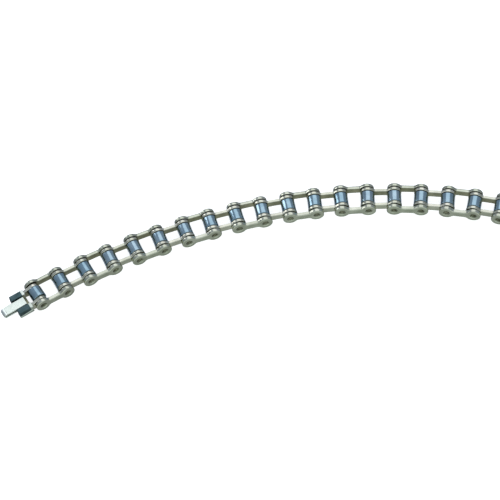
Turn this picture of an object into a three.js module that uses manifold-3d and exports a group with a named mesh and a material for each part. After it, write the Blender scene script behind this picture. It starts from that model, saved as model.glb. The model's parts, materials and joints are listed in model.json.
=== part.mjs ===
// Roller chain of the jewellery kind, laid out flat and open, with a plug and a box that clasp together.
// Millimetres, +Z up. The chain runs along +X from the plug to the box and bows towards +Y.
// The origin is under the middle of the object's bounding box, on the surface that it lies on.
import * as THREE from 'three';
import { mergeVertices } from 'three/addons/utils/BufferGeometryUtils.js';
import Module from 'manifold-3d';

const wasm = await Module();
wasm.setup();

// Driving dimensions of the chain.
const PITCH = 8.5; // from pin to pin
const ROLLER_COUNT = 22;
const BOW_AT_PLUG = THREE.MathUtils.degToRad(1.9); // sideways turn at the first pin, taken up by side play
const BOW_AT_BOX = THREE.MathUtils.degToRad(3.5); // and at the last pin

const INNER_PLATE_THICKNESS = 1.0;
const OUTER_PLATE_THICKNESS = 1.2;
const PLATE_END_RADIUS = 2.35;
const WAIST_HALF_HEIGHT = 1.15;
const WAIST_FILLET = 1.2;

const INNER_WIDTH = 4.3; // between the two inner plates
const SIDE_GAP = 0.35; // between an inner plate and the outer plate beside it
const PIN_RADIUS = 0.95;
const PIN_RECESS = 0.3; // how far a pin end sits below the cover plate's face
const BUSH_BORE_RADIUS = 1.25; // wide enough for the pin to tilt with the bow
const BUSH_RADIUS = 1.68;
const ROLLER_BORE_RADIUS = 1.82;
const ROLLER_RADIUS = 2.25; // less than the plate ends, so that the chain stands on its plates
const ROLLER_END_GAP = 0.15;
const FIT_GAP = 0.3; // between pieces that touch on the real object
const PRESS_GAP = 0.2; // around a pin where it is pressed into a cover plate

// Driving dimensions of the clasp. Along its length they count from the axis of its roller.
const ARM_END_RADIUS = 1.9; // round the bush
const ARM_END = 3.2; // where the arms run into the plug's or the box's body
const CHEEK_END = 8.0;
const CHEEK_INNER = 1.77; // half the slot between the cheeks
const CHEEK_OUTER = 3.7; // the cheeks stand out past the arms
const CHEEK_TOP = 0.95;
const CHEEK_BOTTOM = -1.75;
const BRIDGE_END = 6.2; // the bridge joins the cheeks between ARM_END and here
const BRIDGE_TOP = -1.35;

const TONGUE_HALF_WIDTH = 1.47;
const TONGUE_ROOT = 4.3;
const TONGUE_BOTTOM = -1.05;
const TONGUE_LEAF = 0.5;
const TONGUE_LEAF_GAP = 0.5;
const TONGUE_FOLD_CENTRE = 11.65;
const TONGUE_LIP = 0.5; // the folded end's short upper run
const SPRING_FREE_END = 4.3;
const SPRING_RISE = 0.25; // how much higher its free end stands

const RIVET_X = 5.5;
const RIVET_RADIUS = 0.5;
const RIVET_HEAD_RADIUS = 0.8;
const RIVET_HEAD_HEIGHT = 0.25;

const BOX_END = 14.0;
const BOX_INNER_HALF_WIDTH = 3.45;
const BOX_WALL = 0.8;
const BOX_BACK_WALL = 1.0;
const BOX_FLOOR_BOTTOM = -2.3;
const BOX_FLOOR_TOP = -1.85;
const BOX_WALL_TOP = 1.75;
const BOX_ARM_TOP = 1.6; // the height at which its arms leave the body
const COVER_THICKNESS = 0.6;
const COVER_NOTCH_HALF_WIDTH = 1.5;
const COVER_NOTCH_DEPTH = 1.6;

const END_FRONT_STEPS = 6; // round the front half of a plate's end, from top to bottom
const END_BACK_STEPS = 2; // from there back to each fillet
const FILLET_STEPS = 2;
const ARM_END_STEPS = 8;
const PIN_SIDES = 12;
const BUSH_SIDES = 14;
const ROLLER_SIDES = 18;
const FOLD_STEPS = 8;
const CUT_MARGIN = 1; // how far a cutting tool runs past the surfaces that it cuts

const HALF_TURN = Math.PI;
const QUARTER_TURN = Math.PI / 2;
const FULL_TURN = 2 * Math.PI;

const HALF_PITCH = PITCH / 2;
const CAGE_HALF_WIDTH = INNER_WIDTH / 2 + INNER_PLATE_THICKNESS;
const OUTER_INNER_FACE = CAGE_HALF_WIDTH + SIDE_GAP;
const OUTER_FACE = OUTER_INNER_FACE + OUTER_PLATE_THICKNESS;

const FINISHES = {
  steel: { color: 0xb9bda8, roughness: 0.22, metalness: 1.0 },
  darkSteel: { color: 0x4a5c60, roughness: 0.3, metalness: 1.0 },
  blue: { color: 0x3f6488, roughness: 0.25, metalness: 0.9 },
  bright: { color: 0xe6eee8, roughness: 0.15, metalness: 1.0 },
};

// Solids and booleans.

function toSolid(geometry) {
  const plain = geometry.clone();
  plain.deleteAttribute('normal');
  plain.deleteAttribute('uv');
  const merged = mergeVertices(plain);
  return new wasm.Manifold(new wasm.Mesh({
    numProp: 3,
    vertProperties: new Float32Array(merged.attributes.position.array),
    triVerts: new Uint32Array(merged.index.array),
  }));
}

function toGeometry(solid) {
  const mesh = solid.getMesh();
  const geometry = new THREE.BufferGeometry();
  geometry.setAttribute('position', new THREE.BufferAttribute(new Float32Array(mesh.vertProperties), 3));
  geometry.setIndex(new THREE.BufferAttribute(new Uint32Array(mesh.triVerts), 1));
  geometry.computeVertexNormals();
  return geometry;
}

function join(geometries) {
  return geometries.map(toSolid).reduce((whole, piece) => whole.add(piece));
}

function cut(solid, tools) {
  return tools.map(toSolid).reduce((rest, tool) => rest.subtract(tool), solid);
}

// A box given by its lowest and highest corner.
function block(low, high) {
  const size = high.map((value, axis) => value - low[axis]);
  const middle = high.map((value, axis) => (value + low[axis]) / 2);
  return new THREE.BoxGeometry(...size).translate(...middle);
}

// A round bar along Y. Its flats touch the radius if it is a cutting tool, and its corners if not.
function crossBar(radius, x, yLow, yHigh, sides, isTool = false) {
  const reach = isTool ? radius / Math.cos(HALF_TURN / sides) : radius;
  return new THREE.CylinderGeometry(reach, reach, yHigh - yLow, sides)
    .translate(x, (yLow + yHigh) / 2, 0);
}

// A round bar along Z.
function uprightBar(radius, x, zLow, zHigh, sides) {
  return new THREE.CylinderGeometry(radius, radius, zHigh - zLow, sides)
    .rotateX(QUARTER_TURN)
    .translate(x, 0, (zLow + zHigh) / 2);
}

// An outline in the XZ plane, made solid between two values of Y.
function slab(outline, yLow, yHigh, holes = []) {
  const shape = new THREE.Shape(outline);
  holes.forEach((hole) => shape.holes.push(new THREE.Path(hole)));
  return new THREE.ExtrudeGeometry(shape, { depth: yHigh - yLow, bevelEnabled: false })
    .rotateX(QUARTER_TURN)
    .translate(0, yHigh, 0);
}

function point(x, z) {
  return new THREE.Vector2(x, z);
}

function arc(x, z, radius, from, to, steps) {
  const points = [];
  for (let step = 0; step <= steps; step += 1) {
    const angle = from + ((to - from) * step) / steps;
    points.push(point(x + radius * Math.cos(angle), z + radius * Math.sin(angle)));
  }
  return points;
}

function circle(radius, x, sides) {
  const reach = radius / Math.cos(HALF_TURN / sides);
  return arc(x, 0, reach, 0, FULL_TURN, sides).slice(0, sides);
}

function mirrored(points, flipX, flipZ) {
  return points.map((p) => point(flipX ? -p.x : p.x, flipZ ? -p.y : p.y));
}

// Outlines.

// From the round end's centre, the fillet between it and the waist has its centre this far back.
const FILLET_RUN = Math.sqrt(
  (PLATE_END_RADIUS + WAIST_FILLET) ** 2 - (WAIST_HALF_HEIGHT + WAIST_FILLET) ** 2,
);
const FILLET_ANGLE = Math.atan2(WAIST_HALF_HEIGHT + WAIST_FILLET, FILLET_RUN);

// The right end of a plate, from the top of the waist over the round end to the bottom of the waist.
function roundEnd(centre) {
  const upper = arc(
    centre - FILLET_RUN, WAIST_HALF_HEIGHT + WAIST_FILLET, WAIST_FILLET,
    -QUARTER_TURN, -FILLET_ANGLE, FILLET_STEPS,
  );
  const back = arc(centre, 0, PLATE_END_RADIUS, HALF_TURN - FILLET_ANGLE, QUARTER_TURN, END_BACK_STEPS);
  const front = arc(centre, 0, PLATE_END_RADIUS, QUARTER_TURN, -QUARTER_TURN, END_FRONT_STEPS);
  const top = [...upper, ...back.slice(1)];
  return [...top, ...front.slice(1, -1), ...mirrored(top, false, true).reverse()];
}

function dogBone() {
  const right = roundEnd(HALF_PITCH);
  return [...right, ...mirrored(right, true, true)].reverse();
}

// A straight arm from the body's height to one round end.
function armOutline(bodyBottom, bodyTop) {
  const run = ARM_END + CUT_MARGIN;
  const topTaper = Math.asin((ARM_END_RADIUS - bodyTop) / run);
  const bottomTaper = Math.asin((ARM_END_RADIUS + bodyBottom) / run);
  const end = arc(0, 0, ARM_END_RADIUS, QUARTER_TURN + topTaper, -QUARTER_TURN - bottomTaper, ARM_END_STEPS);
  return [point(-run, bodyTop), ...end, point(-run, bodyBottom)].reverse();
}

// Pieces of the chain, each in its link's frame: the link's middle is the origin and X runs along it.

function pinPlate() {
  const plate = slab(dogBone(), OUTER_INNER_FACE, OUTER_FACE);
  const pins = [-HALF_PITCH, HALF_PITCH].map(
    (x) => crossBar(PIN_RADIUS, x, -OUTER_FACE + PIN_RECESS,
      OUTER_FACE - OUTER_PLATE_THICKNESS / 2, PIN_SIDES),
  );
  return toGeometry(join([plate, ...pins]));
}

function coverPlate() {
  const holes = [-HALF_PITCH, HALF_PITCH].map((x) => circle(PIN_RADIUS + PRESS_GAP, x, PIN_SIDES));
  return slab(dogBone(), -OUTER_FACE, -OUTER_INNER_FACE, holes);
}

// Two plates or arms on one or two bushes, bored right through.
function cage(outline, bushes) {
  const plates = [1, -1].map((side) => {
    const faces = [side * (INNER_WIDTH / 2), side * CAGE_HALF_WIDTH].sort((a, b) => a - b);
    return slab(outline, ...faces);
  });
  const tubes = bushes.map(
    (x) => crossBar(BUSH_RADIUS, x, -CAGE_HALF_WIDTH + INNER_PLATE_THICKNESS / 2,
      CAGE_HALF_WIDTH - INNER_PLATE_THICKNESS / 2, BUSH_SIDES),
  );
  return join([...plates, ...tubes]);
}

function bores(centres) {
  return centres.map((x) => crossBar(BUSH_BORE_RADIUS, x, -CAGE_HALF_WIDTH - CUT_MARGIN,
    CAGE_HALF_WIDTH + CUT_MARGIN, PIN_SIDES, true));
}

function innerCage() {
  const centres = [-HALF_PITCH, HALF_PITCH];
  return toGeometry(cut(cage(dogBone(), centres), bores(centres)));
}

// A tube along Y: the profile's own square closes on itself.
function roller() {
  const reach = ROLLER_BORE_RADIUS / Math.cos(HALF_TURN / ROLLER_SIDES);
  const end = INNER_WIDTH / 2 - ROLLER_END_GAP;
  const profile = [
    point(reach, -end), point(ROLLER_RADIUS, -end), point(ROLLER_RADIUS, end), point(reach, end),
    point(reach, -end),
  ];
  return new THREE.LatheGeometry(profile, ROLLER_SIDES);
}

// Pieces of the plug. Its roller's axis is the origin, and the tongue points along -X.

function plugFrame() {
  const cheeks = [
    block([-CHEEK_END, CHEEK_INNER, CHEEK_BOTTOM], [-ARM_END, CHEEK_OUTER, CHEEK_TOP]),
    block([-CHEEK_END, -CHEEK_OUTER, CHEEK_BOTTOM], [-ARM_END, -CHEEK_INNER, CHEEK_TOP]),
  ];
  const bridge = block(
    [-BRIDGE_END, -CHEEK_INNER - CUT_MARGIN, CHEEK_BOTTOM],
    [-ARM_END, CHEEK_INNER + CUT_MARGIN, BRIDGE_TOP],
  );
  const whole = [cage(armOutline(CHEEK_BOTTOM, CHEEK_TOP), [0]), ...[...cheeks, bridge].map(toSolid)]
    .reduce((sum, piece) => sum.add(piece));
  const rivetHole = uprightBar(RIVET_RADIUS + PRESS_GAP, -RIVET_X,
    CHEEK_BOTTOM - CUT_MARGIN, BRIDGE_TOP + CUT_MARGIN, PIN_SIDES);
  return toGeometry(cut(whole, [...bores([0]), rivetHole]));
}

const LEAF_TOP = TONGUE_BOTTOM + TONGUE_LEAF;
const SPRING_BOTTOM = LEAF_TOP + TONGUE_LEAF_GAP;
const SPRING_TOP = SPRING_BOTTOM + TONGUE_LEAF;
const FOLD_RADIUS = (SPRING_TOP - TONGUE_BOTTOM) / 2;
const FOLD_HEIGHT = (SPRING_TOP + TONGUE_BOTTOM) / 2;

// The lower leaf, the fold at the tip and a short lip above it.
function tongue() {
  const lipEnd = -TONGUE_FOLD_CENTRE + TONGUE_LIP;
  const outer = arc(-TONGUE_FOLD_CENTRE, FOLD_HEIGHT, FOLD_RADIUS,
    -QUARTER_TURN, -3 * QUARTER_TURN, FOLD_STEPS);
  const inner = arc(-TONGUE_FOLD_CENTRE, FOLD_HEIGHT, TONGUE_LEAF_GAP / 2,
    -3 * QUARTER_TURN, -QUARTER_TURN, FOLD_STEPS / 2);
  const outline = [
    point(-TONGUE_ROOT, TONGUE_BOTTOM), ...outer, point(lipEnd, SPRING_TOP), point(lipEnd, SPRING_BOTTOM),
    ...inner, point(-TONGUE_ROOT, LEAF_TOP),
  ];
  const strip = toSolid(slab(outline, -TONGUE_HALF_WIDTH, TONGUE_HALF_WIDTH));
  const rivetHole = uprightBar(RIVET_RADIUS + PRESS_GAP, -RIVET_X,
    TONGUE_BOTTOM - CUT_MARGIN, LEAF_TOP + CUT_MARGIN, PIN_SIDES);
  return toGeometry(cut(strip, [rivetHole]));
}

// The upper leaf, which springs up from the fold towards its free end.
function tongueSpring() {
  const start = -TONGUE_FOLD_CENTRE + TONGUE_LIP + FIT_GAP;
  const outline = [
    point(start, SPRING_BOTTOM), point(-SPRING_FREE_END, SPRING_BOTTOM + SPRING_RISE),
    point(-SPRING_FREE_END, SPRING_TOP + SPRING_RISE), point(start, SPRING_TOP),
  ];
  return slab(outline, -TONGUE_HALF_WIDTH, TONGUE_HALF_WIDTH);
}

// Its head is under the bridge, and its other end is flush with the lower leaf.
function rivet() {
  const headTop = CHEEK_BOTTOM - FIT_GAP;
  const headBottom = headTop - RIVET_HEAD_HEIGHT;
  const shank = uprightBar(RIVET_RADIUS, -RIVET_X, headTop - RIVET_HEAD_HEIGHT / 2, LEAF_TOP, PIN_SIDES);
  const head = uprightBar(RIVET_HEAD_RADIUS, -RIVET_X, headBottom, headTop, PIN_SIDES);
  return toGeometry(join([shank, head]));
}

// Pieces of the box. Its roller's axis is the origin, and the mouth opens along +X.

function boxFrame() {
  const outside = BOX_INNER_HALF_WIDTH + BOX_WALL;
  const body = block([ARM_END, -outside, BOX_FLOOR_BOTTOM], [BOX_END, outside, BOX_WALL_TOP]);
  const armShape = armOutline(BOX_FLOOR_TOP, BOX_ARM_TOP);
  const arms = cage(mirrored(armShape, true, false).reverse(), [0]);
  const cavity = block(
    [ARM_END + BOX_BACK_WALL, -BOX_INNER_HALF_WIDTH, BOX_FLOOR_TOP],
    [BOX_END + CUT_MARGIN, BOX_INNER_HALF_WIDTH, BOX_WALL_TOP + CUT_MARGIN],
  );
  return toGeometry(cut(arms.add(toSolid(body)), [cavity, ...bores([0])]));
}

function boxCover() {
  const outside = BOX_INNER_HALF_WIDTH + BOX_WALL;
  const low = BOX_WALL_TOP + FIT_GAP;
  const high = low + COVER_THICKNESS;
  const plate = toSolid(block([ARM_END, -outside, low], [BOX_END, outside, high]));
  const notch = block(
    [BOX_END - COVER_NOTCH_DEPTH, -COVER_NOTCH_HALF_WIDTH, low - CUT_MARGIN],
    [BOX_END + CUT_MARGIN, COVER_NOTCH_HALF_WIDTH, high + CUT_MARGIN],
  );
  return toGeometry(cut(plate, [notch]));
}

// The assembly.

function named(name, geometry, finish) {
  const mesh = new THREE.Mesh(geometry, new THREE.MeshStandardMaterial(finish));
  mesh.name = name;
  return mesh;
}

function numbered(name, number) {
  return `${name}_${String(number).padStart(2, '0')}`;
}

function rollerMesh(number, x) {
  const mesh = named(numbered('roller', number), roller(), FINISHES.blue);
  mesh.position.x = x;
  return mesh;
}

// The link that runs from roller `number` to the next one. Odd links are outer, even ones inner.
function link(number) {
  const group = new THREE.Group();
  if (number % 2 === 1) {
    group.add(named(numbered('outer_pin_plate', number), pinPlate(), FINISHES.steel));
    group.add(named(numbered('outer_cover_plate', number), coverPlate(), FINISHES.steel));
  } else {
    group.add(named(numbered('inner_cage', number), innerCage(), FINISHES.steel));
    group.add(rollerMesh(number, -HALF_PITCH));
    group.add(rollerMesh(number + 1, HALF_PITCH));
  }
  return group;
}

function plug() {
  const group = new THREE.Group();
  group.add(named('clasp_plug_frame', plugFrame(), FINISHES.darkSteel));
  group.add(named('clasp_tongue', tongue(), FINISHES.bright));
  group.add(named('clasp_tongue_spring', tongueSpring(), FINISHES.bright));
  group.add(named('clasp_rivet', rivet(), FINISHES.steel));
  group.add(rollerMesh(1, 0));
  return group;
}

function box() {
  const group = new THREE.Group();
  group.add(named('clasp_box_frame', boxFrame(), FINISHES.darkSteel));
  group.add(named('clasp_box_cover', boxCover(), FINISHES.steel));
  group.add(rollerMesh(ROLLER_COUNT, 0));
  return group;
}

// How far the path turns at pin `number`, from the first to the last.
function bowAt(number) {
  return THREE.MathUtils.mapLinear(number, 1, ROLLER_COUNT, BOW_AT_PLUG, BOW_AT_BOX);
}

// The pins' places in the plane and the heading of every link, with the first link along X.
function layOut() {
  const pins = [new THREE.Vector2(0, 0)];
  const headings = [bowAt(1), 0];
  for (let number = 1; number < ROLLER_COUNT; number += 1) {
    const heading = headings[number];
    const step = new THREE.Vector2(Math.cos(heading), Math.sin(heading)).multiplyScalar(PITCH);
    pins.push(pins[number - 1].clone().add(step));
    headings.push(heading - bowAt(number + 1));
  }
  return { pins, headings };
}

function place(group, x, y, heading) {
  group.position.set(x, y, 0);
  group.rotation.z = heading;
  return group;
}

function chain() {
  const { pins, headings } = layOut();
  const whole = new THREE.Group();
  whole.add(place(plug(), pins[0].x, pins[0].y, headings[0]));
  for (let number = 1; number < ROLLER_COUNT; number += 1) {
    const middle = pins[number - 1].clone().add(pins[number]).multiplyScalar(1 / 2);
    whole.add(place(link(number), middle.x, middle.y, headings[number]));
  }
  const last = pins[ROLLER_COUNT - 1];
  whole.add(place(box(), last.x, last.y, headings[ROLLER_COUNT]));
  whole.rotation.z = -last.angle() + (last.y < 0 ? FULL_TURN : 0);
  return whole;
}

// Moves the chain so that its bounding box stands on Z = 0, centred on the origin.
function centred(whole) {
  whole.updateMatrixWorld(true);
  const bounds = new THREE.Box3().setFromObject(whole, true);
  const middle = bounds.getCenter(new THREE.Vector3());
  whole.position.set(-middle.x, -middle.y, -bounds.min.z);
  return whole;
}

export default centred(chain());
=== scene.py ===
import json
import math

import bmesh
import bpy
from mathutils import Matrix, Vector

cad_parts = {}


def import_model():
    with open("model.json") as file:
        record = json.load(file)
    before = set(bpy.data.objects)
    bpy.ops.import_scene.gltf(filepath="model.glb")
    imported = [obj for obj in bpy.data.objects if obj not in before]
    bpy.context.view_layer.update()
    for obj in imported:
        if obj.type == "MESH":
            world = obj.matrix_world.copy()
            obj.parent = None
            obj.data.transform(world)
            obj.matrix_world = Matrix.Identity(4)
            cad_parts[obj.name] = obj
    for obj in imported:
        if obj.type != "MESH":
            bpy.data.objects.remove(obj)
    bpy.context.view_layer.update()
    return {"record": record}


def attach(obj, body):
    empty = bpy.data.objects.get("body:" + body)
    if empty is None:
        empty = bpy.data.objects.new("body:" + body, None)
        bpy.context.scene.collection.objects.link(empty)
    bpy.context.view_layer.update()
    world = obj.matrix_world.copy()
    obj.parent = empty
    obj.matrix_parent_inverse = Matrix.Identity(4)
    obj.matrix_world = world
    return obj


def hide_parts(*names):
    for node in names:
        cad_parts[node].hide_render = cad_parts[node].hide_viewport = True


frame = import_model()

MM = 0.001
UP = Vector((0, 0, 1))
JOINTS = {joint["name"]: joint for joint in frame["record"]["behaviour"]["joints"]}
ROLLERS = sum(name.startswith("roller_spin") for name in JOINTS)
SIDES = ((1, "far"), (-1, "near"))

QUARTER = math.pi / 2
TURN = 2 * math.pi
SHARP = math.radians(40)
TINY = 1e-9
CUT_TOLERANCE = 1e-5
MERGE_DIGITS = 6  # points that agree to this many are one vertex

# Sizes in millimetres, in a link's own frame: X along the link, Y across it with the far side positive,
# Z up, and the pins' axes at height 0.
INNER_FACE = 2.15  # half the space between the inner plates
CAGE_FACE = 3.15  # their outer faces
OUTER_INSIDE = 3.5  # the outer plates' inner faces
OUTER_FACE = 4.7
END_RADIUS = 2.35
WAIST = 1.15  # half the height of a plate's waist
FILLET = 1.2
PIN_RADIUS = 0.98
PIN_HOLE = 1.0
PIN_END = 4.42
RIM_RADIUS = 0.82  # a pin's end is hollow inside this radius
PIN_DISH = (  # (radius, depth below the pin's end)
    (0.0, 0.45),
    (0.6, 0.42),
    (0.74, 0.3),
    (RIM_RADIUS - 0.01, 0.02),
    (0.92, 0.0),
    (PIN_RADIUS, 0.12),
)
BUSH_RADIUS = 1.68
BUSH_HOLE = 1.7
BUSH_BORE = 1.25
ROLLER_BORE = 1.82
ROLLER_RADIUS = 2.25
ROLLER_WAIST = ROLLER_RADIUS - 0.02  # the radius at its middle
ROLLER_END = 1.92

# The clasp's sizes, from the axis of its own roller.
ARM_RADIUS = 1.9
ARM_END = 3.2
ARM_OVERLAP = 0.1  # how far an arm runs into the clasp's body
CHEEK_END = 8.0
CHEEK_DARK = 4.1  # the darker slate colour starts here
CHEEK_INSIDE = 1.77
CHEEK_OUTSIDE = 3.7
CHEEK_TOP = 0.95
CHEEK_BOTTOM = -1.75
GROOVE_HEIGHT = -0.5
GROOVE_HALF_WIDTH = 0.14
GROOVE_DEPTH = 0.2
GROOVE_FALL = 0.6  # how much lower the groove is at the tip than at the root
BRIDGE_END = 6.2
BRIDGE_TOP = -1.35
BRIDGE_OVERLAP = 0.05  # how far the bridge runs into each cheek
TONGUE_HALF_WIDTH = 1.47
TONGUE_ROOT = 4.3
TONGUE_NARROWING = 0.3  # the share of its width that it loses at the tip
LEAF_BOTTOM = -1.05
LEAF_TOP = -0.55
SPRING_BOTTOM = -0.05
SPRING_TOP = 0.45
FOLD_X = 11.65
TIP_X = 12.4
LIP_X = 11.15
SPRING_START = 11.09
SPRING_END = 4.3
SPRING_RISE = 0.25
SPRING_CURVE = 1.3  # the power of the length that the rise follows
RIVET_X = 5.5
RIVET_RADIUS = 0.5
RIVET_HEAD = 0.8
RIVET_HEAD_TAPER = 0.15
RIVET_HEAD_BOTTOM = -2.3
RIVET_HEAD_TOP = -2.05
BOX_END = 14.0
BOX_OUTSIDE = 4.25
BOX_INSIDE = 3.45
BOX_BACK = 4.5
BACK_SETBACK = 0.05  # how far the back wall stands in from the channel's end
BOX_BOTTOM = -2.3
BOX_FLOOR = -1.85
BOX_WALL_TOP = 1.75
BOX_ARM_TOP = 1.6
COVER_BOTTOM = 2.05
COVER_TOP = 2.65
NOTCH_RADIUS = 1.5
NOTCH_DEPTH = 1.6

# How much edges and corners are rounded, in millimetres. A pair is for the near and the far face.
FAR_PLATE_EDGES = (0.1, 0.45)
FAR_PLATE_HOLE_EDGES = (0.06, 0.22)
NEAR_PLATE_EDGES = (0.22, 0.12)
NEAR_PLATE_HOLE_EDGES = (0.22, 0.06)
INNER_PLATE_EDGES = (0.16, 0.16)
INNER_PLATE_HOLE_EDGES = (0.06, 0.06)
PIN_EDGE = 0.06
BUSH_EDGE = 0.1
ROLLER_EDGE = 0.2
RIVET_EDGE = 0.1
CHEEK_CORNER = 0.16
CHEEK_EDGE = 0.14
BRIDGE_CORNER = 0.1
LEAF_EDGE = 0.12
SPRING_EDGE = 0.14
BOX_CORNER = 0.22
BOX_EDGE = 0.12
BACK_CORNER = 0.1
BACK_EDGE = 0.1
COVER_CORNER = 0.5
COVER_EDGE = 0.18

# How many pieces curves are cut into.
END_STEPS = 16
FILLET_STEPS = 6
HOLE_STEPS = 16
PIN_STEPS = 40
ROLLER_STEPS = 64
RIVET_STEPS = 32
FOLD_STEPS = 20
FOLD_INSIDE_STEPS = 12
SPRING_STEPS = 14
NOTCH_STEPS = 16

# ---------------------------------------------------------------- places


def two(number):
    return f"{number:02d}"


def sideways(name):
    """The joint's axis, pointing to the far side."""
    axis = Vector(JOINTS[name]["axis"])
    return axis if axis.y > 0 else -axis


def standing(origin, across):
    """The matrix of a frame in millimetres: Y runs across, Z is up and X is along the chain."""
    across = across.normalized()
    along = across.cross(UP)
    turned = Matrix((along, across, UP)).transposed().to_4x4()
    return Matrix.Translation(origin) @ turned


PINS = {n: Vector(JOINTS[f"pivot_{two(n)}"]["pos_m"]) for n in range(1, ROLLERS + 1)}
PITCH = (PINS[2] - PINS[1]).length / MM


def link_matrix(number):
    """The frame of the link between two rollers: odd links are outer, even ones inner."""
    middle = (PINS[number] + PINS[number + 1]) / 2
    joint = f"pivot_{two(number)}" if number % 2 else f"roller_spin_{two(number)}"
    return standing(middle, sideways(joint))


def roller_matrix(number):
    return standing(PINS[number], sideways(f"roller_spin_{two(number)}"))


# ---------------------------------------------------------------- outlines


def arc(x, z, radius, start, end, steps):
    turns = [start + (end - start) * i / steps for i in range(steps + 1)]
    return [(x + radius * math.cos(a), z + radius * math.sin(a)) for a in turns]


def rectangle(left, right, bottom, top):
    return [(left, bottom), (right, bottom), (right, top), (left, top)]


def softened(corners, radius, steps=4, closed=True):
    """The polygon with its corners rounded. The ends of an open one stay as they are."""
    most = 0.45  # the largest share of a side that one corner takes
    points = []
    last = len(corners) - 1
    for i, corner in enumerate(corners):
        if not closed and i in (0, last):
            points.append(corner)
            continue
        here = Vector(corner)
        before = Vector(corners[i - 1]) - here
        after = Vector(corners[(i + 1) % len(corners)]) - here
        reach = min(radius, before.length * most, after.length * most)
        a = here + before.normalized() * reach
        b = here + after.normalized() * reach
        for k in range(steps + 1):
            t = k / steps
            points.append(tuple((1 - t) ** 2 * a + 2 * t * (1 - t) * here + t**2 * b))
    return points


FILLET_BACK = math.sqrt((END_RADIUS + FILLET) ** 2 - (WAIST + FILLET) ** 2)
FILLET_TURN = math.atan2(WAIST + FILLET, FILLET_BACK)


def quarter_end(centre):
    """From a round end's tip over its top to where the fillet meets the waist."""
    end = arc(centre, 0, END_RADIUS, 0, math.pi - FILLET_TURN, END_STEPS)
    fillet = arc(centre - FILLET_BACK, WAIST + FILLET, FILLET, -FILLET_TURN, -QUARTER, FILLET_STEPS)
    return end + fillet[1:]


def dog_bone():
    """The outline of a chain plate."""
    right = quarter_end(PITCH / 2)
    left = [(-x, z) for x, z in reversed(right)]
    top = right + left
    bottom = [(-x, -z) for x, z in top]
    return top + bottom[1:-1]


def arm(body_bottom, body_top):
    """A straight arm from one round end at the origin to the clasp's body at -X."""
    run = ARM_END + ARM_OVERLAP

    def half(height):
        taper = math.asin((ARM_RADIUS - height) / run)
        return arc(0, 0, ARM_RADIUS, 0, QUARTER + taper, END_STEPS) + [(-run, height), (-run, 0)]

    bottom = [(x, -z) for x, z in reversed(half(-body_bottom))]
    return half(body_top) + bottom[1:-1]


def flipped(outline):
    """The outline mirrored in X, starting again at its rightmost point on Z = 0."""
    mirrored = [(-x, z) for x, z in reversed(outline)]
    start = max(range(len(mirrored)), key=lambda i: (abs(mirrored[i][1]) < TINY, mirrored[i][0]))
    return mirrored[start:] + mirrored[:start]


# ---------------------------------------------------------------- meshes

# What an edge belongs to on the near face. On the far face it is one more.
OUTLINE_KIND = 1
HOLE_KIND = 3


def bevelled(bm, layer, kind, width, segments=4):
    edges = [e for e in bm.edges if e[layer] == kind]
    if edges and width > 0:
        bmesh.ops.bevel(bm, geom=edges, offset=width, segments=segments, profile=0.5, affect="EDGES")


def plate(outline, holes, near, far, edges, hole_edges):
    """A flat plate between two values of Y with round holes (x, radius), in ascending x.

    edges and hole_edges give how much the near and the far face are rounded. The faces are split along
    Z = 0, so the outline has a point on that line at each end.
    """
    bm = bmesh.new()
    kinds = bm.edges.layers.int.new("kind")
    split = max(range(1, len(outline)), key=lambda i: (abs(outline[i][1]) < TINY, -outline[i][0]))
    upper = outline[: split + 1]
    lower = [*outline[split:], outline[0]]
    over = [arc(x, 0, r, math.pi, 0, HOLE_STEPS) for x, r in holes]
    under = [arc(x, 0, r, 0, -math.pi, HOLE_STEPS) for x, r in reversed(holes)]
    halves = [upper + [p for ring in over for p in ring], lower + [p for ring in under for p in ring]]
    rounds = [a + b[1:-1] for a, b in zip(over, reversed(under), strict=True)]
    corners = {}
    for face, y in (("near", near), ("far", far)):
        made = {}

        def corner(p, y=y, made=made):
            """This face's vertex at a point, made only once."""
            key = (round(p[0], MERGE_DIGITS), round(p[1], MERGE_DIGITS))
            if key not in made:
                made[key] = bm.verts.new((p[0], y, p[1]))
            return made[key]

        corners[face] = corner
        for half in halves:
            bm.faces.new(list(dict.fromkeys(corner(p) for p in half)))
    for loop, kind in [(outline, OUTLINE_KIND)] + [(ring, HOLE_KIND) for ring in rounds]:
        for p, q in zip(loop, loop[1:] + loop[:1], strict=True):
            a = corners["near"](p)
            b = corners["near"](q)
            c = corners["far"](q)
            d = corners["far"](p)
            bm.faces.new((a, b, c, d))
            bm.edges.get((a, b))[kinds] = kind
            bm.edges.get((c, d))[kinds] = kind + 1
    bmesh.ops.recalc_face_normals(bm, faces=bm.faces)
    for kind, width in enumerate((*edges, *hole_edges), start=OUTLINE_KIND):
        bevelled(bm, kinds, kind, width)
    return bm


def prism(outline, low, high, edge, axis="y", segments=3):
    """An outline in two axes made solid along the third, the edges of its end faces rounded."""
    place = {
        "x": lambda p, t: (t, p[0], p[1]),
        "y": lambda p, t: (p[0], t, p[1]),
        "z": lambda p, t: (p[0], p[1], t),
    }[axis]
    bm = bmesh.new()
    kinds = bm.edges.layers.int.new("kind")
    rings = [[bm.verts.new(place(p, t)) for p in outline] for t in (low, high)]
    for ring in rings:
        bm.faces.new(ring)
    count = len(outline)
    for i in range(count):
        j = (i + 1) % count
        bm.faces.new((rings[0][i], rings[0][j], rings[1][j], rings[1][i]))
        for ring in rings:
            bm.edges.get((ring[i], ring[j]))[kinds] = OUTLINE_KIND
    bmesh.ops.recalc_face_normals(bm, faces=bm.faces)
    bevelled(bm, kinds, OUTLINE_KIND, edge, segments)
    return bm


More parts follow.
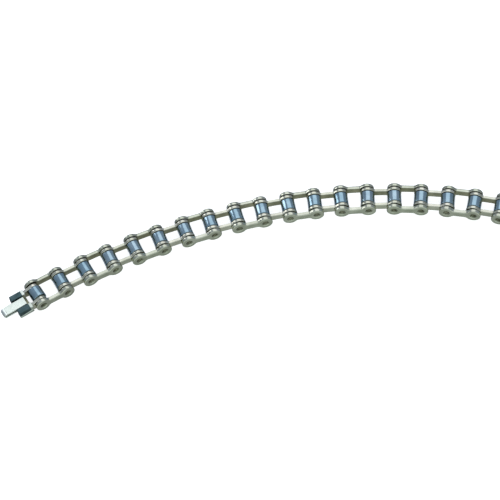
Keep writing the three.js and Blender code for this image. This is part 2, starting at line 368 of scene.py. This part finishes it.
def lathe(profile, steps, closed=True, upright=False):
    """Turns (radius, height) about Y, or about Z when upright.

    A profile that isn't closed starts and ends on the axis.
    """
    bm = bmesh.new()
    rings = []
    turns = [TURN * i / steps for i in range(steps)]
    for radius, height in profile:
        if radius < TINY:
            rings.append([bm.verts.new((0, height, 0))])
            continue
        rings.append([bm.verts.new((radius * math.cos(a), height, radius * math.sin(a))) for a in turns])
    pairs = list(zip(rings, rings[1:], strict=False)) + ([(rings[-1], rings[0])] if closed else [])
    for a, b in pairs:
        for i in range(steps):
            j = (i + 1) % steps
            corners = [a[i % len(a)], a[j % len(a)], b[j % len(b)], b[i % len(b)]]
            bm.faces.new(list(dict.fromkeys(corners)))
    if upright:
        bmesh.ops.rotate(bm, verts=bm.verts, matrix=Matrix.Rotation(QUARTER, 3, "X"))
    bmesh.ops.recalc_face_normals(bm, faces=bm.faces)
    return bm


def second_material(bm, direction):
    """Gives the faces that look along a direction the piece's second material, which paints shade on them.
    """
    straight = 0.9  # the least cosine
    bm.normal_update()
    for face in bm.faces:
        if face.normal.dot(direction) > straight:
            face.material_index = 1
    return bm


def moved(bm, x):
    bmesh.ops.translate(bm, verts=bm.verts, vec=(x, 0, 0))
    return bm


def seed_of(name):
    """A number from 0 to 10 that depends on a piece's name only."""
    first_weight = 3
    seeds = 97
    total = sum(ord(c) * (i + first_weight) for i, c in enumerate(name))
    return (total % seeds) / (seeds / 10)


def add(name, bm, matrix, materials, body, nodes):
    """Makes a piece of a mesh in millimetres, in the frame that matrix gives, tied to its CAD body."""
    bmesh.ops.scale(bm, verts=bm.verts, vec=(MM, MM, MM))
    mesh = bpy.data.meshes.new(name)
    bm.to_mesh(mesh)
    bm.free()
    mesh.shade_smooth()
    mesh.set_sharp_from_angle(angle=SHARP)
    seed = mesh.attributes.new("seed", "FLOAT", "POINT")
    seed.data.foreach_set("value", [seed_of(name)] * len(mesh.vertices))
    for material in materials:
        mesh.materials.append(material)
    piece = bpy.data.objects.new(name, mesh)
    bpy.context.scene.collection.objects.link(piece)
    piece.matrix_world = matrix
    weighted = piece.modifiers.new("even_shading", "WEIGHTED_NORMAL")
    weighted.keep_sharp = True
    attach(piece, body)
    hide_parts(*nodes)
    return piece


# ---------------------------------------------------------------- materials


class Shader:
    """A material with a Principled shader, and short calls to add nodes to it."""

    def __init__(self, name):
        self.material = bpy.data.materials.new(name)
        self.material.use_nodes = True
        self.tree = self.material.node_tree
        self.shader = self.tree.nodes["Principled BSDF"]

    def node(self, kind, settings=None, **inputs):
        made = self.tree.nodes.new(kind)
        for key, value in (settings or {}).items():
            setattr(made, key, value)
        for key, value in inputs.items():
            socket = made.inputs[key.replace("_", " ")]
            if isinstance(value, bpy.types.NodeSocket):
                self.tree.links.new(value, socket)
            else:
                socket.default_value = value
        return made

    def plug(self, output, name):
        self.tree.links.new(output, self.shader.inputs[name])

    def noise(self, vector, seed, scale, detail):
        settings = {"noise_dimensions": "4D"}
        made = self.node("ShaderNodeTexNoise", settings, Vector=vector, W=seed, Scale=scale, Detail=detail)
        return made.outputs["Fac"]

    def ramp(self, value, stops):
        made = self.node("ShaderNodeValToRGB", Fac=value)
        elements = made.color_ramp.elements
        while len(elements) < len(stops):
            elements.new(0.5)
        for element, (place, colour) in zip(elements, stops, strict=True):
            element.position = place
            element.color = (*colour, 1)
        return made.outputs["Color"]

    def spread(self, value, low, high):
        made = self.node("ShaderNodeMapRange", Value=value, To_Min=low, To_Max=high)
        return made.outputs["Result"]


# The grain's scales along X, Y and Z.
LENGTHWISE = (500, 5000, 5000)
ROUND_ABOUT = (400, 9000, 400)
GRAIN_RELIEF = 0.00002  # in metres
CLOUD_SCALE = 420.0
CLOUD_STOPS = (0.28, 0.5, 0.72)
PATCH_SCALE = 1500.0
FINE_DETAIL = 4.0
PLAIN_DETAIL = 2.0
COAT_ROUGHNESS = 0.06
STEEL_SHADE = (0.9, 0.92, 0.88)


def metal(name, colours, roughness, streak, grain=LENGTHWISE, coat=0.0, shade=STEEL_SHADE):
    """Polished metal: cloudy colour, fine drawn grain in one direction and patches of roughness.

    Each piece has its own share of the shade.
    """
    m = Shader(name)
    place = m.node("ShaderNodeTexCoord").outputs["Object"]
    seed = m.node("ShaderNodeAttribute", {"attribute_name": "seed"}).outputs["Fac"]
    cloudy = m.noise(place, seed, CLOUD_SCALE, FINE_DETAIL)
    clouds = m.ramp(cloudy, list(zip(CLOUD_STOPS, colours, strict=True)))
    share = m.node("ShaderNodeMath", {"operation": "FRACT"})
    m.tree.links.new(seed, share.inputs[0])
    multiply = {"data_type": "RGBA", "blend_type": "MULTIPLY"}
    shaded = m.node("ShaderNodeMix", multiply, Factor=share.outputs["Value"])
    m.tree.links.new(clouds, shaded.inputs["A"])
    shaded.inputs["B"].default_value = (*shade, 1)
    m.plug(shaded.outputs["Result"], "Base Color")
    drawn = m.node("ShaderNodeMapping", Vector=place, Scale=grain).outputs["Vector"]
    lines = m.noise(drawn, seed, 1.0, PLAIN_DETAIL)
    patches = m.noise(place, seed, PATCH_SCALE, PLAIN_DETAIL)
    both = m.node("ShaderNodeMath", {"operation": "ADD"})
    m.tree.links.new(lines, both.inputs[0])
    m.tree.links.new(patches, both.inputs[1])
    low, high = roughness
    m.plug(m.spread(both.outputs["Value"], low * 2 - high, high), "Roughness")
    bump = m.node("ShaderNodeBump", Height=lines, Strength=streak, Distance=GRAIN_RELIEF)
    m.plug(bump.outputs["Normal"], "Normal")
    m.shader.inputs["Metallic"].default_value = 1.0
    m.shader.inputs["Coat Weight"].default_value = coat
    m.shader.inputs["Coat Roughness"].default_value = COAT_ROUGHNESS
    return m.material


STEEL_OUTER = metal(
    "steel_outer",
    colours=((0.42, 0.43, 0.35), (0.53, 0.54, 0.45), (0.64, 0.64, 0.55)),
    roughness=(0.09, 0.2),
    streak=0.15,
)
STEEL_INNER = metal(
    "steel_inner",
    colours=((0.48, 0.47, 0.39), (0.6, 0.59, 0.5), (0.72, 0.7, 0.6)),
    roughness=(0.08, 0.2),
    streak=0.15,
)
# Painted shade: a darker copy of the steel for faces that sit in shade between the plates and under the
# tongue.
STEEL_PAINTED_SHADE = metal(
    "steel_painted_shade",
    colours=((0.22, 0.21, 0.14), (0.31, 0.3, 0.21), (0.43, 0.4, 0.29)),
    roughness=(0.2, 0.36),
    streak=0.25,
)
# Painted shade: a still darker steel for the pins' hollow ends, where shade falls.
STEEL_HOLLOW_PAINTED_SHADE = metal(
    "steel_hollow_painted_shade",
    colours=((0.13, 0.13, 0.09), (0.2, 0.2, 0.14), (0.3, 0.29, 0.21)),
    roughness=(0.16, 0.3),
    streak=0.2,
)
STEEL_PIN = metal(
    "steel_pin",
    colours=((0.4, 0.42, 0.34), (0.52, 0.54, 0.45), (0.64, 0.65, 0.56)),
    roughness=(0.12, 0.26),
    streak=0.2,
    grain=ROUND_ABOUT,
)
BLUE = metal(
    "blue_coating",
    colours=((0.24, 0.35, 0.42), (0.31, 0.42, 0.49), (0.37, 0.48, 0.55)),
    roughness=(0.07, 0.15),
    streak=0.08,
    grain=ROUND_ABOUT,
    coat=0.7,
    shade=(0.7, 0.82, 0.86),
)
SLATE = metal(
    "clasp_slate",
    colours=((0.05, 0.085, 0.09), (0.075, 0.12, 0.13), (0.11, 0.16, 0.17)),
    roughness=(0.22, 0.38),
    streak=0.25,
)
CLASP_STEEL = metal(
    "clasp_steel",
    colours=((0.5, 0.54, 0.5), (0.62, 0.66, 0.61), (0.74, 0.77, 0.72)),
    roughness=(0.1, 0.22),
    streak=0.2,
)
SPRING_STEEL = metal(
    "spring_steel",
    colours=((0.7, 0.74, 0.7), (0.75, 0.79, 0.75), (0.8, 0.84, 0.8)),
    roughness=(0.14, 0.2),
    streak=0.04,
)

# ---------------------------------------------------------------- pieces of the chain


def pin():
    """A pin whose ends are hollowed by riveting. The hollows are darker, with painted shade."""
    half = [(radius, PIN_END - depth) for radius, depth in PIN_DISH]
    profile = half + [(radius, -y) for radius, y in reversed(half)]
    bm = lathe(softened(profile, PIN_EDGE, steps=3, closed=False), PIN_STEPS, closed=False)
    for face in bm.faces:
        # painted shade: faces inside the rim get the darker hollow steel
        face.material_index = int(all(math.hypot(v.co.x, v.co.z) < RIM_RADIUS for v in face.verts))
    return bm


def bush():
    corners = rectangle(BUSH_BORE, BUSH_RADIUS, -CAGE_FACE, CAGE_FACE)
    return lathe(softened(corners, BUSH_EDGE, steps=3), PIN_STEPS)


def roller():
    """A short tube, a hair thinner at its middle, with rounded rims."""
    corners = [
        (ROLLER_BORE, -ROLLER_END),
        (ROLLER_RADIUS, -ROLLER_END),
        (ROLLER_WAIST, 0),
        (ROLLER_RADIUS, ROLLER_END),
        (ROLLER_BORE, ROLLER_END),
    ]
    return lathe(softened(corners, ROLLER_EDGE, steps=5), ROLLER_STEPS)


def outer_plate(side):
    """An outer plate, with painted shade on its inner face."""
    holes = [(-PITCH / 2, PIN_HOLE), (PITCH / 2, PIN_HOLE)]
    if side > 0:
        bm = plate(dog_bone(), holes, OUTER_INSIDE, OUTER_FACE, FAR_PLATE_EDGES, FAR_PLATE_HOLE_EDGES)
    else:
        bm = plate(dog_bone(), holes, -OUTER_FACE, -OUTER_INSIDE, NEAR_PLATE_EDGES, NEAR_PLATE_HOLE_EDGES)
    return second_material(bm, Vector((0, -side, 0)))


def outer_link(number):
    """Two outer plates and the two pins that are riveted into the far one."""
    matrix = link_matrix(number)
    body = f"outer_link_{two(number)}"
    pin_plate = f"outer_pin_plate_{two(number)}"
    nodes = {"far": pin_plate, "near": f"outer_cover_plate_{two(number)}"}
    for side, word in SIDES:
        name = f"outer_plate_{word}_{two(number)}"
        add(name, outer_plate(side), matrix, (STEEL_OUTER, STEEL_PAINTED_SHADE), body, [nodes[word]])
    for x, n in ((-PITCH / 2, number), (PITCH / 2, number + 1)):
        add(f"pin_{two(n)}", moved(pin(), x), matrix, (STEEL_PIN, STEEL_HOLLOW_PAINTED_SHADE), body, [pin_plate])


def inner_plates(name, outline, holes, matrix, body, node):
    """The two plates of an inner link, or the two arms of a clasp half, with painted shade on their inner
    faces.
    """
    for side, word in SIDES:
        low, high = sorted((side * INNER_FACE, side * CAGE_FACE))
        bm = plate(outline, holes, low, high, INNER_PLATE_EDGES, INNER_PLATE_HOLE_EDGES)
        second_material(bm, Vector((0, -side, 0)))
        add(name.format(word), bm, matrix, (STEEL_INNER, STEEL_PAINTED_SHADE), body, [node])


def inner_link(number):
    """Two inner plates and the two bushes that are pressed into them."""
    matrix = link_matrix(number)
    body = f"inner_link_{two(number)}"
    node = f"inner_cage_{two(number)}"
    ends = (-PITCH / 2, PITCH / 2)
    holes = [(x, BUSH_HOLE) for x in ends]
    inner_plates("inner_plate_{}_" + two(number), dog_bone(), holes, matrix, body, node)
    for x, n in zip(ends, (number, number + 1), strict=True):
        add(f"bush_{two(n)}", moved(bush(), x), matrix, (STEEL_INNER,), body, [node])


def add_roller(number):
    name = f"roller_{two(number)}"
    add(f"{name}_tube", roller(), roller_matrix(number), (BLUE,), name, [name])


# ---------------------------------------------------------------- pieces of the clasp


def cheek(side):
    """A solid side block with a groove along its outer face, which falls towards the tip.

    Above the groove it is slate-coloured, except at its root.
    """
    corners = [
        (CHEEK_INSIDE, CHEEK_BOTTOM),
        (CHEEK_OUTSIDE, CHEEK_BOTTOM),
        (CHEEK_OUTSIDE, GROOVE_HEIGHT - GROOVE_HALF_WIDTH),
        (CHEEK_OUTSIDE - GROOVE_DEPTH, GROOVE_HEIGHT),
        (CHEEK_OUTSIDE, GROOVE_HEIGHT + GROOVE_HALF_WIDTH),
        (CHEEK_OUTSIDE, CHEEK_TOP),
        (CHEEK_INSIDE, CHEEK_TOP),
    ]
    outline = softened([(side * y, z) for y, z in corners], CHEEK_CORNER, steps=3)
    bm = prism(outline, -CHEEK_END, -ARM_END, CHEEK_EDGE, axis="x")
    slate_start = ((-CHEEK_DARK, 0, 0), (1, 0, 0))
    groove_line = ((0, 0, GROOVE_HEIGHT), (0, 0, 1))
    for place, normal in (slate_start, groove_line):
        everything = [*bm.verts, *bm.edges, *bm.faces]
        bmesh.ops.bisect_plane(bm, geom=everything, dist=CUT_TOLERANCE, plane_co=place, plane_no=normal)
    for face in bm.faces:
        centre = face.calc_center_median()
        face.material_index = int(centre.x < -CHEEK_DARK and centre.z > GROOVE_HEIGHT)
    for v in bm.verts:
        height = (v.co.z - CHEEK_BOTTOM) / (GROOVE_HEIGHT - CHEEK_BOTTOM)
        share = height if height < 1 else (CHEEK_TOP - v.co.z) / (CHEEK_TOP - GROOVE_HEIGHT)
        along = (-v.co.x - ARM_END) / (CHEEK_END - ARM_END)
        v.co.z -= GROOVE_FALL * along * share
    return bm


def tongue():
    """The lower leaf and the fold, whose tip is narrowed round."""
    middle = (SPRING_TOP + LEAF_BOTTOM) / 2
    outer_radius = (SPRING_TOP - LEAF_BOTTOM) / 2
    inner_radius = (SPRING_BOTTOM - LEAF_TOP) / 2
    outer = arc(-FOLD_X, middle, outer_radius, -QUARTER, -3 * QUARTER, FOLD_STEPS)
    inner = arc(-FOLD_X, middle, inner_radius, -3 * QUARTER, -QUARTER, FOLD_INSIDE_STEPS)
    outline = [(-TONGUE_ROOT, LEAF_BOTTOM), *outer, (-LIP_X, SPRING_TOP), (-LIP_X, SPRING_BOTTOM)]
    outline += [*inner, (-TONGUE_ROOT, LEAF_TOP)]
    bm = prism(outline, -TONGUE_HALF_WIDTH, TONGUE_HALF_WIDTH, LEAF_EDGE)
    for v in bm.verts:
        past = max(0.0, (-v.co.x - FOLD_X) / (TIP_X - FOLD_X))
        v.co.y *= 1 - TONGUE_NARROWING * past**2
    return bm


def tongue_spring():
    """The upper leaf, with a slight curve up to its free end."""
    shares = [i / SPRING_STEPS for i in range(SPRING_STEPS + 1)]
    line = [
        (-SPRING_START + (SPRING_START - SPRING_END) * share, SPRING_RISE * share**SPRING_CURVE)
        for share in shares
    ]
    low = [(x, SPRING_BOTTOM + rise) for x, rise in line]
    high = [(x, SPRING_TOP + rise) for x, rise in line]
    return prism(low + high[::-1], -TONGUE_HALF_WIDTH, TONGUE_HALF_WIDTH, SPRING_EDGE)


def rivet():
    """Its head is under the bridge, and its other end is flush with the lower leaf."""
    corners = [
        (0, RIVET_HEAD_BOTTOM),
        (RIVET_HEAD - RIVET_HEAD_TAPER, RIVET_HEAD_BOTTOM),
        (RIVET_HEAD, RIVET_HEAD_TOP),
        (RIVET_RADIUS, RIVET_HEAD_TOP),
        (RIVET_RADIUS, LEAF_TOP),
        (0, LEAF_TOP),
    ]
    profile = softened(corners, RIVET_EDGE, closed=False)
    return lathe(profile, RIVET_STEPS, closed=False, upright=True)


def plug():
    """The clasp half at the chain's start: arms, cheeks, bridge, and the tongue with its rivet."""
    matrix = roller_matrix(1)
    body = "plug"
    node = "clasp_plug_frame"
    shape = arm(CHEEK_BOTTOM, CHEEK_TOP)
    inner_plates("clasp_plug_arm_{}", shape, [(0, BUSH_HOLE)], matrix, body, node)
    add("bush_01", bush(), matrix, (STEEL_INNER,), body, [node])
    for side, word in SIDES:
        add(f"clasp_cheek_{word}", cheek(side), matrix, (CLASP_STEEL, SLATE), body, [node])
    outline = softened(rectangle(-BRIDGE_END, -ARM_END, CHEEK_BOTTOM, BRIDGE_TOP), BRIDGE_CORNER)
    half_width = CHEEK_INSIDE + BRIDGE_OVERLAP
    # Painted shade: the bridge's top gets the darker steel, standing in for the shade under the tongue.
    bridge = second_material(prism(outline, -half_width, half_width, edge=0.0), UP)
    add("clasp_bridge", bridge, matrix, (CLASP_STEEL, STEEL_PAINTED_SHADE), body, [node])
    add("clasp_tongue_leaf", tongue(), matrix, (SPRING_STEEL,), body, ["clasp_tongue"])
    add("clasp_tongue_rivet", moved(rivet(), -RIVET_X), matrix, (STEEL_PIN,), body, ["clasp_rivet"])
    add(
        "clasp_tongue_top",
        tongue_spring(),
        matrix,
        (SPRING_STEEL,),
        "tongue_spring",
        ["clasp_tongue_spring"],
    )


def box_channel():
    """The floor and the two side walls."""
    channel = [
        (-BOX_OUTSIDE, BOX_BOTTOM),
        (BOX_OUTSIDE, BOX_BOTTOM),
        (BOX_OUTSIDE, BOX_WALL_TOP),
        (BOX_INSIDE, BOX_WALL_TOP),
        (BOX_INSIDE, BOX_FLOOR),
        (-BOX_INSIDE, BOX_FLOOR),
        (-BOX_INSIDE, BOX_WALL_TOP),
        (-BOX_OUTSIDE, BOX_WALL_TOP),
    ]
    return prism(softened(channel, BOX_CORNER), ARM_END, BOX_END, BOX_EDGE, axis="x")


def box_back():
    wall = softened(rectangle(-BOX_INSIDE, BOX_INSIDE, BOX_FLOOR, BOX_WALL_TOP), BACK_CORNER)
    return prism(wall, ARM_END + BACK_SETBACK, BOX_BACK, BACK_EDGE, axis="x")


def box_cover():
    """The top plate, with a rounded notch at the mouth for a thumb nail."""
    notch_centre = BOX_END - NOTCH_DEPTH + NOTCH_RADIUS
    notch = arc(notch_centre, 0, NOTCH_RADIUS, -QUARTER, -3 * QUARTER, NOTCH_STEPS)
    outline = softened(rectangle(BOX_END, ARM_END, BOX_OUTSIDE, -BOX_OUTSIDE), COVER_CORNER, steps=5)
    outline += [(BOX_END, -NOTCH_RADIUS)] + notch + [(BOX_END, NOTCH_RADIUS)]
    return prism(outline, COVER_BOTTOM, COVER_TOP, COVER_EDGE, axis="z")


def box():
    """The clasp half at the chain's end: arms, channel, back wall and cover."""
    matrix = roller_matrix(ROLLERS)
    body = "box"
    node = "clasp_box_frame"
    shape = flipped(arm(BOX_FLOOR, BOX_ARM_TOP))
    inner_plates("clasp_box_arm_{}", shape, [(0, BUSH_HOLE)], matrix, body, node)
    add(f"bush_{two(ROLLERS)}", bush(), matrix, (STEEL_INNER,), body, [node])
    add("clasp_box_channel", box_channel(), matrix, (CLASP_STEEL,), body, [node])
    add("clasp_box_back", box_back(), matrix, (CLASP_STEEL,), body, [node])
    add("clasp_box_lid", box_cover(), matrix, (STEEL_OUTER,), body, ["clasp_box_cover"])


plug()
for number in range(1, ROLLERS):
    if number % 2:
        outer_link(number)
    else:
        inner_link(number)
for number in range(1, ROLLERS + 1):
    add_roller(number)
box()

# ---------------------------------------------------------------- stage, light and camera

FLOOR_SIZE = 4
PAPER_GRAIN = 900.0
PAPER_ROUGHNESS = 0.9
PAPER_GLOW = 0.75
PAPER_DARKEST = (0.93, 0.93, 0.93)
PAPER_LIGHTEST = (0.96, 0.96, 0.96)

COOL = (0.88, 1.0, 0.95)
PLAIN = (1, 1, 1)
BLUISH = (0.85, 0.95, 1.1)
# The studio's brightness as (place, value, tint). Places run from 0 to 1.
BY_DEPTH = (  # from in front of the object to behind it
    (0.0, 0.95, COOL),
    (0.1, 0.8, COOL),
    (0.23, 0.47, COOL),
    (0.4, 0.24, PLAIN),
    (0.55, 0.3, BLUISH),
    (1, 0.33, BLUISH),
)
BY_HEIGHT = (  # from below it to above it
    (0.0, 0.0, PLAIN),
    (0.5, 0.05, PLAIN),
    (0.75, 0.15, BLUISH),
    (0.9, 0.26, BLUISH),
    (1, 0.3, BLUISH),
)

CAMERA_HEADING = math.radians(2.24)
CAMERA_ELEVATION = math.radians(57)
CAMERA_ROLL = math.radians(5)
CAMERA_DISTANCE = 0.5197
CAMERA_TARGET = Vector((-0.01915, -0.00061, 0.0023))
SENSOR = 36.0
FOCAL_RATIO = 3.3  # the lens's length over the picture's width
SOFTBOX_DISTANCE = 0.9


def floor():
    """White paper, which polished metal doesn't mirror."""
    bpy.ops.mesh.primitive_plane_add(size=FLOOR_SIZE)
    plane = bpy.context.object
    plane.name = "floor"
    m = Shader("white_paper")
    place = m.node("ShaderNodeTexCoord").outputs["Object"]
    grain = m.node("ShaderNodeTexNoise", Vector=place, Scale=PAPER_GRAIN).outputs["Fac"]
    m.plug(m.ramp(grain, [(0.0, PAPER_DARKEST), (1.0, PAPER_LIGHTEST)]), "Base Color")
    m.shader.inputs["Roughness"].default_value = PAPER_ROUGHNESS
    m.shader.inputs["Emission Color"].default_value = (1, 1, 1, 1)
    m.shader.inputs["Emission Strength"].default_value = PAPER_GLOW
    plane.data.materials.append(m.material)
    plane.visible_glossy = False


def world():
    """A studio round the object: bright in front, half as bright above, and dim everywhere else."""
    made = bpy.data.worlds.new("studio")
    made.use_nodes = True
    tree = made.node_tree
    tree.nodes.clear()
    place = tree.nodes.new("ShaderNodeTexCoord")
    parts = tree.nodes.new("ShaderNodeSeparateXYZ")
    tree.links.new(place.outputs["Generated"], parts.inputs[0])

    def ramp(socket, stops):
        scale = tree.nodes.new("ShaderNodeMapRange")
        scale.inputs["From Min"].default_value = -1
        tree.links.new(socket, scale.inputs["Value"])
        made_ramp = tree.nodes.new("ShaderNodeValToRGB")
        tree.links.new(scale.outputs["Result"], made_ramp.inputs["Fac"])
        elements = made_ramp.color_ramp.elements
        while len(elements) < len(stops):
            elements.new(0.5)
        for element, (at, value, tint) in zip(elements, stops, strict=True):
            element.position = at
            element.color = (*(value * t for t in tint), 1)
        return made_ramp.outputs["Color"]

    depth = ramp(parts.outputs["Y"], BY_DEPTH)
    height = ramp(parts.outputs["Z"], BY_HEIGHT)
    both = tree.nodes.new("ShaderNodeVectorMath")
    tree.links.new(height, both.inputs[0])
    tree.links.new(depth, both.inputs[1])
    background = tree.nodes.new("ShaderNodeBackground")
    tree.links.new(both.outputs["Vector"], background.inputs["Color"])
    output = tree.nodes.new("ShaderNodeOutputWorld")
    tree.links.new(background.outputs[0], output.inputs[0])
    bpy.context.scene.world = made


def softbox(name, turn, size, radiance, colour):
    """A rectangular light that an upward face mirrors to the camera, swung by a turn about the Y axis."""
    light = bpy.data.lights.new(name, "AREA")
    light.shape = "RECTANGLE"
    light.size, light.size_y = size
    light.energy = radiance * math.pi * size[0] * size[1]
    light.color = colour
    lamp = bpy.data.objects.new(name, light)
    rise = math.sin(CAMERA_ELEVATION)
    back = math.cos(CAMERA_ELEVATION)
    direction = Vector((rise * math.sin(turn), back, rise * math.cos(turn)))
    lamp.location = direction * SOFTBOX_DISTANCE
    lamp.rotation_euler = direction.to_track_quat("Z", "Y").to_euler()
    bpy.context.scene.collection.objects.link(lamp)


def camera():
    data = bpy.data.cameras.new("camera")
    data.sensor_width = SENSOR
    data.lens = SENSOR * FOCAL_RATIO
    data.clip_start = 0.01
    data.clip_end = 10
    made = bpy.data.objects.new("camera", data)
    flat = math.cos(CAMERA_ELEVATION)
    fall = -math.sin(CAMERA_ELEVATION)
    forward = Vector((math.sin(CAMERA_HEADING) * flat, math.cos(CAMERA_HEADING) * flat, fall))
    made.location = CAMERA_TARGET - forward * CAMERA_DISTANCE
    made.rotation_mode = "QUATERNION"
    level = forward.to_track_quat("-Z", "Y")
    made.rotation_quaternion = level @ Matrix.Rotation(-CAMERA_ROLL, 3, "Z").to_quaternion()
    bpy.context.scene.collection.objects.link(made)
    bpy.context.scene.camera = made


floor()
world()
softbox("window", turn=math.radians(9), size=(0.84, 0.5), radiance=0.86, colour=(1.0, 1.0, 0.98))
softbox("strip", turn=math.radians(-68), size=(0.17, 0.5), radiance=2.4, colour=(0.97, 0.98, 1.0))
camera()
bpy.context.scene.view_settings.view_transform = "Standard"
